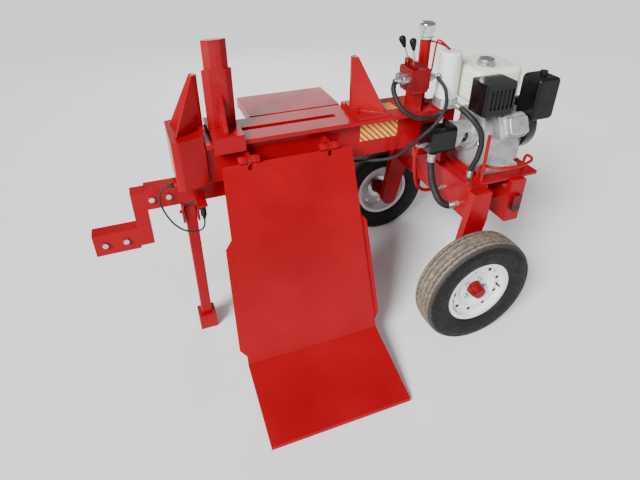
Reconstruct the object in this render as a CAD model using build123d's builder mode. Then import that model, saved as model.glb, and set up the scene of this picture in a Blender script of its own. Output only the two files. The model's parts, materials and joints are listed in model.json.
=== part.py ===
"""Towable two-way log splitter with a log lift, as separate pieces in millimetres.

+X runs along the beam towards the engine, -Y is the side with the log lift, +Z is up.
The origin is the centre of the jack leg's sole, where it stands on the ground.
"""

import os
from math import atan2, cos, degrees, pi, radians, sin, tan

from build123d import *

# ---- driving dimensions -------------------------------------------------------
AXLE_X = 1220  # wheel axis, 5.30-12 tyres
WHEEL_R = 285
TYRE_W = 145
TRACK_Y = 505  # wheel mid-planes
BEAD_R = 152
FLANGE_R = 168
SPINDLE_R = 15
RUNNING = 0.05  # radial clearance of a running fit

BEAM_X0, BEAM_X1 = 95, 1290
BEAM_Z0, BEAM_Z1 = 860, 1030
BEAM_HALF = 75
BEAM_WALL = 10
SLIDE_HALF = 110  # half width of the slide plate on the beam
SLIDE_T = 20
DECK_Z = BEAM_Z1 + SLIDE_T
SLOT_HALF = 15  # slot for the wedge carriage's lug
STROKE = 480

ANVIL_TOP = 1310
LEFT_NOSE_X, RIGHT_NOSE_X = 105, 768
WEDGE_X, WEDGE_TOP = 185, 1436

HINGE_Y, HINGE_Z = -140, 975  # log lift hinge, along X
LIFT_TILT = 19.1  # degrees from upright at rest
LIFT_RAISE = 71
LIFT_LEN = 915
LIFT_X = 428  # middle of the lift plate
LIFT_TOP_HALF, LIFT_LOW_HALF = 288, 316
LUG_XS = (255, 610)
RAM_X = 480  # the lift's own cylinder
RAM_BASE = (150, 720)
RAM_DOWN, RAM_BACK = 140, 60

TANK_X0, TANK_X1 = 1235, 1335
TANK_Z0, TANK_Z1 = 560, 740
CROSS_X0, CROSS_X1 = 1465, 1550
CROSS_Z0 = 505
CHASSIS_HALF = 350

CRANK_Y, CRANK_Z = -160, 935
ENGINE_X0, ENGINE_X1 = 1330, 1560

BAR_HALF = 32  # tongue bars
LOW_BAR_Z0, LOW_BAR_Z1 = 575, 680
TOP_BAR_Z0, TOP_BAR_Z1 = 760, 860
LEG_HALF, LEG_PIVOT_Z = 25, 700

# The light cable hangs in a loop from a gland in the end block to its parked plug.
CABLE_D, CABLE_Y = 8, -80
CABLE_ROUTE = [(-54, CABLE_Y, 884), (-88, CABLE_Y, 884), (-114, CABLE_Y, 860), (-121, CABLE_Y, 820),
               (-113, CABLE_Y, 778), (-99, CABLE_Y, 734), (-78, CABLE_Y, 692), (-48, CABLE_Y, 656),
               (-10, CABLE_Y, 636), (30, CABLE_Y, 634), (50, CABLE_Y, 660), (50, CABLE_Y, 696)]
PLUG_TOP = 764

os.makedirs("parts", exist_ok=True)


def save(piece, name):
    """Labels a finished piece and writes its STEP file."""
    piece.part.label = name
    export_step(piece.part, f"parts/{name}.step")


def block(x0, x1, y0, y1, z0, z1, mode=Mode.ADD):
    """A rectangular block between two corners, in the open part."""
    with Locations(((x0 + x1) / 2, (y0 + y1) / 2, (z0 + z1) / 2)):
        Box(x1 - x0, y1 - y0, z1 - z0, mode=mode)


def rod_x(x0, x1, y, z, r, mode=Mode.ADD):
    """A round bar along X."""
    with Locations(Location(((x0 + x1) / 2, y, z), (0, 90, 0))):
        Cylinder(r, x1 - x0, mode=mode)


def rod_y(x, y0, y1, z, r, mode=Mode.ADD):
    """A round bar along Y."""
    with Locations(Location((x, (y0 + y1) / 2, z), (90, 0, 0))):
        Cylinder(r, y1 - y0, mode=mode)


def rod_z(x, y, z0, z1, r, mode=Mode.ADD):
    """A round bar along Z."""
    with Locations((x, y, (z0 + z1) / 2)):
        Cylinder(r, z1 - z0, mode=mode)


def route_radii(points, share=0.45):
    """The bend radius at each corner of a tube's route: as large as its runs allow."""
    radii = []
    for a, b, c in zip(points, points[1:], points[2:]):
        run_in, run_out = Vector(b) - Vector(a), Vector(c) - Vector(b)
        turn = run_in.get_angle(run_out)
        radii.append(share * min(run_in.length, run_out.length) / tan(radians(turn) / 2))
    return radii


def tube(points, diameter, name):
    """A solid round tube along straight runs joined by tangent arcs."""
    radii = route_radii(points)
    with BuildPart() as piece:
        with BuildLine() as path:
            FilletPolyline(*points, radius=radii)
        wire = path.wire()
        start = Plane(origin=wire @ 0, z_dir=wire % 0)
        with BuildSketch(start):
            Circle(diameter / 2)
        sweep(path=wire)
    ideal = pi * diameter**2 / 4 * wire.length
    print(name, "length", round(wire.length), "radii", [round(r) for r in radii],
          "volume/ideal", round(piece.part.volume / ideal, 4))
    save(piece, name)


# ---- main beam ----------------------------------------------------------------
slot_x0, slot_x1 = WEDGE_X - 25, WEDGE_X + STROKE + 30
with BuildPart() as main_beam:
    block(BEAM_X0, BEAM_X1, -BEAM_HALF, BEAM_HALF, BEAM_Z0, BEAM_Z1)
    block(BEAM_X0 + 10, BEAM_X1 - 10, -BEAM_HALF + BEAM_WALL, BEAM_HALF - BEAM_WALL,
          BEAM_Z0 + BEAM_WALL, BEAM_Z1 - BEAM_WALL, mode=Mode.SUBTRACT)
    block(BEAM_X0, BEAM_X1 - 100, -SLIDE_HALF, SLIDE_HALF, BEAM_Z1, DECK_Z)
    block(slot_x0, slot_x1, -SLOT_HALF, SLOT_HALF, BEAM_Z1 - 2 * BEAM_WALL, DECK_Z, mode=Mode.SUBTRACT)
save(main_beam, "main_beam")

# The end block closes the beam's hitch end, wider at the tow end, in plan a blunt plough.
with BuildPart() as left_end_block:
    with BuildSketch(Plane.XY.offset(BEAM_Z0 + 8)):
        Polygon((-40, -118), (-12, -124), (BEAM_X0, -96), (BEAM_X0, 96), (-12, 124), (-40, 118), align=None)
    extrude(amount=DECK_Z + 38 - BEAM_Z0 - 8)
    chamfer(left_end_block.edges().filter_by(Axis.Z), 4)
    rod_x(CABLE_ROUTE[0][0], -38, CABLE_Y, CABLE_ROUTE[0][2], 9)
save(left_end_block, "left_end_block")


# ---- anvils: two triangular wings that meet in an upright nose -----------------
def anvil(nose_x, direction, deck_z, base_t, foot, name):
    """direction is the way the wings spread from the nose: -1 to the hitch, 1 to the engine."""
    spread = 34
    base_z = deck_z + base_t
    with BuildPart() as piece:
        for side in (-1, 1):
            along = Vector(direction * cos(radians(spread)), side * sin(radians(spread)), 0)
            wing = Plane(origin=(nose_x, 0, 0), x_dir=along, z_dir=along.cross(Vector(0, 0, 1)))
            with BuildSketch(wing):
                up = 1 if wing.y_dir.Z > 0 else -1
                Polygon((0, up * base_z), (foot, up * base_z), (30, up * ANVIL_TOP), (0, up * ANVIL_TOP),
                        align=None)
            extrude(amount=6, both=True)
        low, high = sorted((nose_x, nose_x + direction * 22))
        block(low, high, -9, 9, base_z, ANVIL_TOP)
        block(low, high, -60, 60, base_z, base_z + 12)
        block(*sorted((nose_x, nose_x + direction * 400)), -200, 200, base_z - 60, base_z, mode=Mode.SUBTRACT)
        block(nose_x - 200 if direction > 0 else nose_x, nose_x if direction > 0 else nose_x + 200,
              -200, 200, base_z - 60, ANVIL_TOP + 10, mode=Mode.SUBTRACT)
        if base_t:
            block(nose_x, nose_x + 155, -105, 105, deck_z, base_z)
    save(piece, name)


anvil(LEFT_NOSE_X, -1, DECK_Z + 38, 0, 148, "left_anvil")
anvil(RIGHT_NOSE_X, 1, DECK_Z, 18, 165, "right_anvil")

# ---- wedge on its carriage, with the rod and piston of the main cylinder ---------
CARRIAGE_X0, CARRIAGE_X1 = WEDGE_X - 62, WEDGE_X + 68
KEEPER_CLEAR = 2
with BuildPart() as wedge_carriage:
    block(CARRIAGE_X0, CARRIAGE_X1, -SLIDE_HALF - 14, SLIDE_HALF + 14, DECK_Z - 42, DECK_Z + 28)
    block(CARRIAGE_X0, CARRIAGE_X1, -SLIDE_HALF - 1, SLIDE_HALF + 1, BEAM_Z1 - KEEPER_CLEAR, DECK_Z + 1,
          mode=Mode.SUBTRACT)
    block(CARRIAGE_X0, CARRIAGE_X1, -88, 88, DECK_Z - 42, BEAM_Z1 - KEEPER_CLEAR, mode=Mode.SUBTRACT)
    chamfer(wedge_carriage.edges().filter_by(Axis.X).group_by(Axis.Z)[-1], 6)
    block(WEDGE_X - 15, WEDGE_X + 15, -SLOT_HALF + 3, SLOT_HALF - 3, 925, DECK_Z + 2)
    rod_x(WEDGE_X - 15, WEDGE_X + 15, 0, 945, 26)
save(wedge_carriage, "wedge_carriage")

# Both upright edges of the blade are ground sharp; it is narrower above a step.
BLADE_Z0, BLADE_STEP = DECK_Z + 28, 1322


def blade_section(half):
    """Plan section of the blade: a flat bar with a cutting edge at each end."""
    Polygon((-half, 0), (-half + 26, -14), (half - 26, -14), (half, 0), (half - 26, 14), (-half + 26, 14),
            align=None)


with BuildPart() as wedge_blade:
    with BuildSketch(Plane.XY.offset(BLADE_Z0)):
        with Locations((WEDGE_X, 0)):
            blade_section(60)
    extrude(amount=BLADE_STEP - BLADE_Z0)
    with BuildSketch(Plane.XY.offset(BLADE_STEP)):
        with Locations((WEDGE_X, 0)):
            blade_section(49)
    extrude(amount=WEDGE_TOP - BLADE_STEP)
    # A stiffening cheek on each side of the blade's foot.
    for side in (-1, 1):
        with BuildSketch(Plane.YZ.offset(WEDGE_X - 9)):
            Polygon((side * 12, BLADE_Z0), (side * 92, BLADE_Z0), (side * 92, BLADE_Z0 + 12),
                    (side * 12, BLADE_Z0 + 150), align=None)
        extrude(amount=18)
save(wedge_blade, "wedge_blade")

ROD_R, BARREL_R, BORE_R = 22, 52, 44
ROD_Z = 945
BARREL_X0, BARREL_X1 = WEDGE_X + STROKE + 45, BEAM_X1 - 12
with BuildPart() as main_rod:
    rod_x(WEDGE_X + 15, BARREL_X0 + 48, 0, ROD_Z, ROD_R)
    rod_x(BARREL_X0 + 24, BARREL_X0 + 46, 0, ROD_Z, BORE_R - RUNNING)
save(main_rod, "main_rod")

with BuildPart() as main_cylinder:
    rod_x(BARREL_X0, BARREL_X1, 0, ROD_Z, BARREL_R)
    rod_x(BARREL_X0 + 20, BARREL_X1 - 16, 0, ROD_Z, BORE_R, mode=Mode.SUBTRACT)
    rod_x(BARREL_X0 - 1, BARREL_X0 + 21, 0, ROD_Z, ROD_R + RUNNING, mode=Mode.SUBTRACT)
save(main_cylinder, "main_cylinder")

# ---- far-side log table ----------------------------------------------------------
TABLE_X0, TABLE_X1, TABLE_Y1 = 330, 770, 385
with BuildPart() as far_table:
    block(TABLE_X0, TABLE_X1, SLIDE_HALF + 18, TABLE_Y1, DECK_Z - 10, DECK_Z - 2)
    block(TABLE_X0, TABLE_X1, TABLE_Y1 - 8, TABLE_Y1, DECK_Z - 55, DECK_Z - 10)
    block(TABLE_X0, TABLE_X0 + 8, SLIDE_HALF + 30, TABLE_Y1, DECK_Z - 45, DECK_Z - 10)
    block(TABLE_X1 - 8, TABLE_X1, SLIDE_HALF + 30, TABLE_Y1, DECK_Z - 45, DECK_Z - 10)
    fillet(far_table.edges().filter_by(Axis.X).group_by(Axis.Z)[-1].sort_by(Axis.Y)[-1], 5)
    for x in (TABLE_X0 + 60, TABLE_X1 - 60):
        with BuildSketch(Plane.YZ.offset(x - 5)):
            Polygon((BEAM_HALF, BEAM_Z0 + 20), (BEAM_HALF, BEAM_Z1 - 40), (SLIDE_HALF + 26, BEAM_Z1 - 30),
                    (SLIDE_HALF + 26, DECK_Z - 10), (TABLE_Y1 - 40, DECK_Z - 10), (TABLE_Y1 - 40, DECK_Z - 36),
                    align=None)
        extrude(amount=10)
save(far_table, "far_table")

# ---- log lift ---------------------------------------------------------------------
HINGE_PIN_R = 10
# Two hinge lugs on the near side, and the ears of the lift cylinder's pivot on the far side.
with BuildPart() as lift_brackets:
    for x in LUG_XS:
        with BuildSketch(Plane.YZ.offset(x - 8)):
            with BuildLine():
                Polyline((-BEAM_HALF, BEAM_Z0 + 40), (-BEAM_HALF, BEAM_Z1 - 28), (HINGE_Y, HINGE_Z + 19))
                ThreePointArc((HINGE_Y, HINGE_Z + 19), (HINGE_Y - 19, HINGE_Z), (HINGE_Y, HINGE_Z - 19))
                Line((HINGE_Y, HINGE_Z - 19), (-BEAM_HALF, BEAM_Z0 + 40))
            make_face()
        extrude(amount=16)
        rod_x(x - 46, x + 46, HINGE_Y, HINGE_Z, HINGE_PIN_R)
    for start in (RAM_X - 42, RAM_X + 30):
        with BuildSketch(Plane.YZ.offset(start)):
            Polygon((BEAM_HALF, BEAM_Z0 + 5), (BEAM_HALF, BEAM_Z0 + 90), (BEAM_HALF + 30, BEAM_Z0 + 90),
                    (RAM_BASE[0] + 22, RAM_BASE[1] + 10), (RAM_BASE[0] + 12, RAM_BASE[1] - 22),
                    (RAM_BASE[0] - 18, RAM_BASE[1] - 16), align=None)
        extrude(amount=12)
    rod_x(RAM_X - 50, RAM_X + 50, *RAM_BASE, 9)
save(lift_brackets, "lift_brackets")

tilt = radians(LIFT_TILT)
down = Vector(0, -sin(tilt), -cos(tilt))
outward = Vector(0, -cos(tilt), sin(tilt))
hinge = Vector(LIFT_X, HINGE_Y, HINGE_Z)
fold = hinge + down * LIFT_LEN
LIP_Y, LIP_Z = -790, 12
PLATE_T = 8
lift_plane = Plane(origin=hinge, x_dir=(1, 0, 0), z_dir=outward)
with BuildPart() as lift_plate:
    with BuildSketch(lift_plane):
        Polygon((-LIFT_TOP_HALF, -14), (LIFT_TOP_HALF, -14), (LIFT_LOW_HALF, -LIFT_LEN),
                (-LIFT_LOW_HALF, -LIFT_LEN), align=None)
    extrude(amount=PLATE_T / 2, both=True)
    # The foot slopes gently down and away, and ends in a turned-down lip.
    with BuildSketch(Plane.YZ.offset(LIFT_X - LIFT_LOW_HALF)):
        Polygon((fold.Y + 4, fold.Z - 4), (fold.Y - 4, fold.Z + 6), (LIP_Y, LIP_Z + 10), (LIP_Y - 4, LIP_Z - 4),
                (LIP_Y + 2, LIP_Z - 4), (LIP_Y + 4, LIP_Z + 1), align=None)
    extrude(amount=2 * LIFT_LOW_HALF)
    for x in LUG_XS:
        for start in (x - 44, x + 9):
            rod_x(start, start + 35, HINGE_Y, HINGE_Z, 18)
            rod_x(start, start + 35, HINGE_Y, HINGE_Z, HINGE_PIN_R + RUNNING, mode=Mode.SUBTRACT)
        block(x - 9, x + 9, HINGE_Y - 60, HINGE_Y + 30, HINGE_Z - 40, HINGE_Z + 30, mode=Mode.SUBTRACT)
save(lift_plate, "lift_plate")

# Side flanges behind the lower part of the plate, with cut corners, and a cross rib.
RIB_START, RIB_END, RIB_DEEP = 330, 872, 52
WING, WING_CUT, WING_T = 28, 36, 6
ram_eye = hinge + down * RAM_DOWN - outward * RAM_BACK
EAR_GAP = 14


def rib_half(distance):
    """Half width of the plate at a distance down from the hinge."""
    return LIFT_TOP_HALF + (LIFT_LOW_HALF - LIFT_TOP_HALF) * distance / LIFT_LEN


with BuildPart() as lift_ribs:
    for side in (-1, 1):
        edge = Plane(origin=hinge + Vector(side * (rib_half(RIB_START) - 12), 0, 0), x_dir=down,
                     z_dir=(side, 0, 0))
        back = -1 if (edge.y_dir - outward).length < 0.1 else 1
        with BuildSketch(edge):
            Polygon((RIB_START, back * 4), (RIB_END, back * 4), (RIB_END, back * 22),
                    (RIB_END - 40, back * RIB_DEEP), (RIB_START + 90, back * RIB_DEEP), align=None)
        extrude(amount=8)
    # Flat wings stand out past both edges of the plate, behind it.
    for side in (-1, 1):
        with BuildSketch(lift_plane.offset(-PLATE_T / 2)):
            Polygon((side * (rib_half(RIB_START) - 14), -RIB_START), (side * (rib_half(RIB_START) + 1), -RIB_START),
                    (side * (rib_half(RIB_START + WING_CUT) + WING), -RIB_START - WING_CUT),
                    (side * (rib_half(RIB_END - WING_CUT) + WING), -RIB_END + WING_CUT),
                    (side * (rib_half(RIB_END) + 1), -RIB_END), (side * (rib_half(RIB_END) - 14), -RIB_END),
                    align=None)
        extrude(amount=-WING_T)
    cross = Plane(origin=hinge, x_dir=down, z_dir=(1, 0, 0))
    back = -1 if (cross.y_dir - outward).length < 0.1 else 1
    with BuildSketch(cross.offset(-rib_half(RIB_START) + 12)):
        with Locations((RIB_END - 30, back * 13)):
            Rectangle(40, 18)
    extrude(amount=2 * rib_half(RIB_START) - 24)
    # Two ears take the eye of the lift's cylinder between their short pins.
    for start in (RAM_X - EAR_GAP - 10, RAM_X + EAR_GAP):
        with BuildSketch(cross.offset(start - LIFT_X)):
            Polygon((RAM_DOWN - 45, back * 4), (RAM_DOWN + 45, back * 4), (RAM_DOWN + 16, back * (RAM_BACK + 14)),
                    (RAM_DOWN - 16, back * (RAM_BACK + 14)), align=None)
        extrude(amount=10)
    rod_x(RAM_X - EAR_GAP - 18, RAM_X - EAR_GAP + 2.5, ram_eye.Y, ram_eye.Z, 9)
    rod_x(RAM_X + EAR_GAP - 2.5, RAM_X + EAR_GAP + 18, ram_eye.Y, ram_eye.Z, 9)
save(lift_ribs, "lift_ribs")

# The lift's cylinder, from its pivot on the beam's far side to the eye behind the plate.
ram_base = Vector(RAM_X, *RAM_BASE)
ram_axis = (Vector(RAM_X, ram_eye.Y, ram_eye.Z) - ram_base).normalized()
ram_length = (Vector(RAM_X, ram_eye.Y, ram_eye.Z) - ram_base).length
RAM_R, RAM_BORE, RAM_ROD = 26, 20, 11
with BuildPart() as lift_barrel:
    rod_x(RAM_X - 28, RAM_X + 28, *RAM_BASE, 20)
    with BuildSketch(Plane(origin=ram_base + ram_axis * 14, z_dir=ram_axis)):
        Circle(RAM_R)
    extrude(amount=ram_length - 55)
    rod_x(RAM_X - 29, RAM_X + 29, *RAM_BASE, 9 + RUNNING, mode=Mode.SUBTRACT)
    with BuildSketch(Plane(origin=ram_base + ram_axis * 34, z_dir=ram_axis)):
        Circle(RAM_BORE)
    extrude(amount=ram_length - 88, mode=Mode.SUBTRACT)
    with BuildSketch(Plane(origin=ram_base + ram_axis * (ram_length - 60), z_dir=ram_axis)):
        Circle(RAM_ROD + RUNNING)
    extrude(amount=30, mode=Mode.SUBTRACT)
save(lift_barrel, "lift_barrel")

with BuildPart() as lift_rod:
    with BuildSketch(Plane(origin=ram_base + ram_axis * 40, z_dir=ram_axis)):
        Circle(RAM_ROD)
    extrude(amount=ram_length - 52)
    with BuildSketch(Plane(origin=ram_base + ram_axis * 40, z_dir=ram_axis)):
        Circle(RAM_BORE - RUNNING)
    extrude(amount=14)
    rod_x(RAM_X - 10, RAM_X + 10, ram_eye.Y, ram_eye.Z, 17)
    rod_x(RAM_X - 11, RAM_X + 11, ram_eye.Y, ram_eye.Z, 9 + RUNNING, mode=Mode.SUBTRACT)
save(lift_rod, "lift_rod")

# ---- tongue ------------------------------------------------------------------------
TONGUE_X0 = -416


BOLT_R = 8
LOW_BOLTS = (TONGUE_X0 + 45, TONGUE_X0 + 130)
TOP_BOLTS = (-150, -80)
DROP_X0, DROP_X1 = -231, -173


def bar(x0, x1, z0, z1, holes):
    """A rectangular tube along X with cross holes for its bolts, in the open part."""
    block(x0, x1, -BAR_HALF, BAR_HALF, z0, z1)
    block(x0 - 1, x1 + 1, -BAR_HALF + 6, BAR_HALF - 6, z0 + 6, z1 - 6, mode=Mode.SUBTRACT)
    for x in holes:
        rod_y(x, -BAR_HALF - 1, BAR_HALF + 1, (z0 + z1) / 2, BOLT_R + RUNNING, mode=Mode.SUBTRACT)


with BuildPart() as tongue_lower_bar:
    bar(TONGUE_X0, DROP_X0, LOW_BAR_Z0, LOW_BAR_Z1, LOW_BOLTS)
save(tongue_lower_bar, "tongue_lower_bar")

# The upper bar runs under the beam and carries the drop piece on its end.
with BuildPart() as tongue_upper_bar:
    bar(DROP_X1, 160, TOP_BAR_Z0, TOP_BAR_Z1, TOP_BOLTS)
    block(DROP_X0, DROP_X1, -BAR_HALF, BAR_HALF, LOW_BAR_Z0 + 12, TOP_BAR_Z1 - 12)
    # A small shelf parks the light cable's plug.
    block(30, 70, -102, -BAR_HALF, PLUG_TOP, PLUG_TOP + 8)
save(tongue_upper_bar, "tongue_upper_bar")


def bolt_across(x, z, half):
    """A hex bolt through a bar along Y, with its nut: head on the near side."""
    rod_y(x, -half - 2, half + 2, z, BOLT_R)
    for y, thick in ((-half - 11, 11), (half, 11)):
        with BuildSketch(Plane(origin=(x, y + thick, z), x_dir=(1, 0, 0), z_dir=(0, -1, 0))) as hexagon:
            RegularPolygon(13, 6)
        extrude(hexagon.sketch, amount=thick)


with BuildPart() as frame_bolts:
    for x in LOW_BOLTS:
        bolt_across(x, (LOW_BAR_Z0 + LOW_BAR_Z1) / 2, BAR_HALF)
    for x in TOP_BOLTS:
        bolt_across(x, (TOP_BAR_Z0 + TOP_BAR_Z1) / 2, BAR_HALF)
    # Four more on the rear cross box.
    for y in (-310, -215, 215, 310):
        with BuildSketch(Plane.YZ.offset(CROSS_X0 - 10)):
            with Locations((y, 690)):
                RegularPolygon(11, 6)
        extrude(amount=10)
save(frame_bolts, "frame_bolts")

# ---- jack leg that folds up sideways about a pin along the beam ------------------------
with BuildPart() as jack_bracket:
    for x0, x1 in ((-37, -27), (27, 37)):
        with BuildSketch(Plane.YZ.offset(x0)):
            Polygon((-44, TOP_BAR_Z0), (44, TOP_BAR_Z0), (34, LEG_PIVOT_Z - 42), (-34, LEG_PIVOT_Z - 42),
                    align=None)
        extrude(amount=x1 - x0)
    rod_x(-46, 46, 0, LEG_PIVOT_Z, 8)
save(jack_bracket, "jack_bracket")

with BuildPart() as jack_leg:
    block(-LEG_HALF, LEG_HALF, -LEG_HALF, LEG_HALF, 88, LEG_PIVOT_Z + 34)
    fillet(jack_leg.edges().filter_by(Axis.Z), 5)
    block(-LEG_HALF + 5, LEG_HALF - 5, -LEG_HALF + 5, LEG_HALF - 5, 95, LEG_PIVOT_Z + 29, mode=Mode.SUBTRACT)
    rod_x(-LEG_HALF - 1, LEG_HALF + 1, 0, LEG_PIVOT_Z, 8 + RUNNING, mode=Mode.SUBTRACT)
    block(-42, 42, -42, 42, 0, 88)
save(jack_leg, "jack_leg")

# ---- chassis: tank, cross box, rails, wheel arms ------------------------------------------
with BuildPart() as hydraulic_tank:
    block(TANK_X0, TANK_X1, -CHASSIS_HALF, CHASSIS_HALF, TANK_Z0, TANK_Z1)
    fillet(hydraulic_tank.edges().filter_by(Axis.Y), 10)
    block(TANK_X0 + 5, TANK_X1 - 5, -CHASSIS_HALF + 5, CHASSIS_HALF - 5, TANK_Z0 + 5, TANK_Z1 - 5,
          mode=Mode.SUBTRACT)
save(hydraulic_tank, "hydraulic_tank")

with BuildPart() as chassis_braces:
    block(1245, 1285, -BEAM_HALF, BEAM_HALF, TANK_Z1, BEAM_Z0)
    for side in (-1, 1):
        block(1090, 1245, side * 60 - 8, side * 60 + 8, BEAM_Z0 - 60, BEAM_Z0)
    for side in (-1, 1):
        block(TANK_X1, CROSS_X0, side * 250 - 25, side * 250 + 25, 600, 650)
save(chassis_braces, "chassis_braces")

with BuildPart() as rear_cross_box:
    block(CROSS_X0, CROSS_X1, -CHASSIS_HALF - 12, CHASSIS_HALF + 12, CROSS_Z0, TANK_Z1)
    fillet(rear_cross_box.edges().filter_by(Axis.Y), 7)
save(rear_cross_box, "rear_cross_box")

with BuildPart() as marker_lamps:
    for side in (-1, 1):
        y0, y1 = sorted((side * (CHASSIS_HALF + 12), side * (CHASSIS_HALF + 30)))
        block(CROSS_X0 + 18, CROSS_X1 - 18, y0, y1, 575, 660)
    fillet(marker_lamps.edges().filter_by(Axis.Y), 8)
save(marker_lamps, "marker_lamps")

# Each arm hangs from a tank end and carries a stub axle.
with BuildPart() as wheel_arms:
    for side in (-1, 1):
        y = side * (CHASSIS_HALF + 20)
        arm = Plane(origin=(0, y, 0), x_dir=(1, 0, 0), z_dir=(0, -1, 0))
        with BuildSketch(arm):
            with BuildLine():
                Polyline((TANK_X0 + 2, TANK_Z1 - 15), (TANK_X1 - 2, TANK_Z1 - 15), (TANK_X1 - 2, 570),
                         (AXLE_X + 46, WHEEL_R - 8))
                ThreePointArc((AXLE_X + 46, WHEEL_R - 8), (AXLE_X, WHEEL_R - 46), (AXLE_X - 46, WHEEL_R + 8))
                Line((AXLE_X - 46, WHEEL_R + 8), (TANK_X0 + 2, TANK_Z1 - 15))
            make_face()
        extrude(amount=20, both=True)
        inner, outer = side * (CHASSIS_HALF + 38), side * (TRACK_Y + 48)
        rod_y(AXLE_X, *sorted((inner, outer)), WHEEL_R, SPINDLE_R)
        rod_y(AXLE_X, *sorted((inner, side * (TRACK_Y - 66))), WHEEL_R, 26)
save(wheel_arms, "wheel_arms")


# ---- wheels -----------------------------------------------------------------------------------
def wheel(side, prefix):
    """A tyre, a welded steel rim and a red hub; side is -1 near and 1 far."""
    centre = (AXLE_X, side * TRACK_Y, WHEEL_R)
    section = Plane(origin=centre, x_dir=(0, side, 0), z_dir=(side, 0, 0))
    spin = Axis(centre, (0, 1, 0))
    half = TYRE_W / 2
    with BuildPart() as tyre:
        with BuildSketch(section):
            with BuildLine():
                Polyline((-50, FLANGE_R), (-50, BEAD_R), (-40, BEAD_R))
                ThreePointArc((-40, BEAD_R), (-half + 12, 215), (-48, 262))
                Line((-48, 262), (48, 262))
                ThreePointArc((48, 262), (half - 12, 215), (40, BEAD_R))
                Polyline((40, BEAD_R), (50, BEAD_R), (50, FLANGE_R))
                ThreePointArc((50, FLANGE_R), (half, 222), (62, 268))
                ThreePointArc((62, 268), (58, 277), (48, 281))
                ThreePointArc((48, 281), (0, WHEEL_R), (-48, 281))
                ThreePointArc((-48, 281), (-58, 277), (-62, 268))
                ThreePointArc((-62, 268), (-half, 222), (-50, FLANGE_R))
            make_face()
        revolve(axis=spin)
        # Three grooves run round the tread.
        with BuildSketch(section):
            with Locations((-28, WHEEL_R), (0, WHEEL_R), (28, WHEEL_R)):
                Rectangle(7, 18)
        revolve(axis=spin, mode=Mode.SUBTRACT)
    save(tyre, f"{prefix}_tyre")

    with BuildPart() as rim:
        with BuildSketch(section):
            Polygon((-55, BEAD_R - 5), (55, BEAD_R - 5), (55, FLANGE_R), (50, FLANGE_R), (50, BEAD_R),
                    (-50, BEAD_R), (-50, FLANGE_R), (-55, FLANGE_R), align=None)
            Polygon((8, 39), (14, 39), (14, 76), (32, 104), (26, BEAD_R - 4), (20, BEAD_R - 4), (25, 106),
                    (8, 80), align=None)
        revolve(axis=spin)
        face_plane = Plane(origin=centre, x_dir=(1, 0, 0), z_dir=(0, side, 0))
        with BuildSketch(face_plane):
            with PolarLocations(126, 9):
                SlotOverall(20, 10, rotation=90)
            with PolarLocations(57, 5):
                Circle(7)
        extrude(amount=45, mode=Mode.SUBTRACT)
    save(rim, f"{prefix}_rim")

    with BuildPart() as hub:
        with BuildSketch(section):
            Polygon((-62, 0), (-62, 36), (-2, 38), (-2, 74), (8, 74), (8, 38.5), (46, 36), (66, 30), (70, 22),
                    (70, 0), align=None)
        revolve(axis=spin)
        y0, y1 = sorted((side * (TRACK_Y - 63), side * (TRACK_Y + 49)))
        rod_y(AXLE_X, y0, y1, WHEEL_R, SPINDLE_R + RUNNING, mode=Mode.SUBTRACT)
        with BuildSketch(face_plane):
            with PolarLocations(57, 5):
                Circle(6)
        extrude(amount=32)
        # Five wheel nuts on the hub's studs.
        with BuildSketch(face_plane.offset(14)):
            with PolarLocations(57, 5):
                RegularPolygon(11, 6)
                Circle(6 + RUNNING, mode=Mode.SUBTRACT)
        extrude(amount=14)
    save(hub, f"{prefix}_hub")


wheel(-1, "near")
wheel(1, "far")

# ---- engine ---------------------------------------------------------------------------------------
with BuildPart() as engine_plate:
    block(1302, 1630, -345, 60, TANK_Z1, TANK_Z1 + 12)
    fillet(engine_plate.edges().filter_by(Axis.Z), 14)
    rod_z(1312, -322, TANK_Z1 + 12, 985, 8)
save(engine_plate, "engine_plate")
PLATE_TOP = TANK_Z1 + 12

# The cylinder leans towards the near side; its fins lie square to its axis.
LEAN, CYL_START = 25, 135
lean = radians(LEAN)
head_dir = Vector(0, -cos(lean), sin(lean))
cylinder_x = ENGINE_X0 + 85
cyl_start = Vector(cylinder_x, CRANK_Y, CRANK_Z + 6) + head_dir * CYL_START
cyl_plane = Plane(origin=cyl_start, x_dir=(1, 0, 0), z_dir=head_dir)
with BuildPart() as crankcase:
    block(ENGINE_X0, ENGINE_X1, CRANK_Y - 95, CRANK_Y + 95, PLATE_TOP + 26, CRANK_Z + 105)
    fillet(crankcase.edges().filter_by(Axis.X), 24)
    block(ENGINE_X0 + 12, ENGINE_X1 - 12, CRANK_Y - 120, CRANK_Y + 120, PLATE_TOP, PLATE_TOP + 30)
    rod_x(ENGINE_X0 - 14, ENGINE_X0 + 1, CRANK_Y, CRANK_Z, 72)
    for x in (1348, 1500):
        block(x, x + 24, CRANK_Y - 40, CRANK_Y + 60, CRANK_Z + 104, 1092)
    with BuildSketch(cyl_plane.offset(-70)):
        RectangleRounded(112, 92, 12)
    extrude(amount=70)
save(crankcase, "crankcase")

with BuildPart() as cylinder_fins:
    with BuildSketch(cyl_plane):
        Circle(44)
    extrude(amount=62)
    for k in range(8):
        with BuildSketch(cyl_plane.offset(2 + k * 7.5)):
            RectangleRounded(136, 112, 14)
        extrude(amount=3)
    with BuildSketch(cyl_plane.offset(60)):
        RectangleRounded(120, 100, 12)
    extrude(amount=16)
save(cylinder_fins, "cylinder_fins")

with BuildPart() as head_cover:
    with BuildSketch(cyl_plane.offset(76)):
        RectangleRounded(104, 84, 16)
    extrude(amount=30, taper=6)
    fillet(head_cover.faces().sort_by(Axis((0, 0, 0), tuple(head_dir)))[-1].edges(), 6)
save(head_cover, "head_cover")

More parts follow.
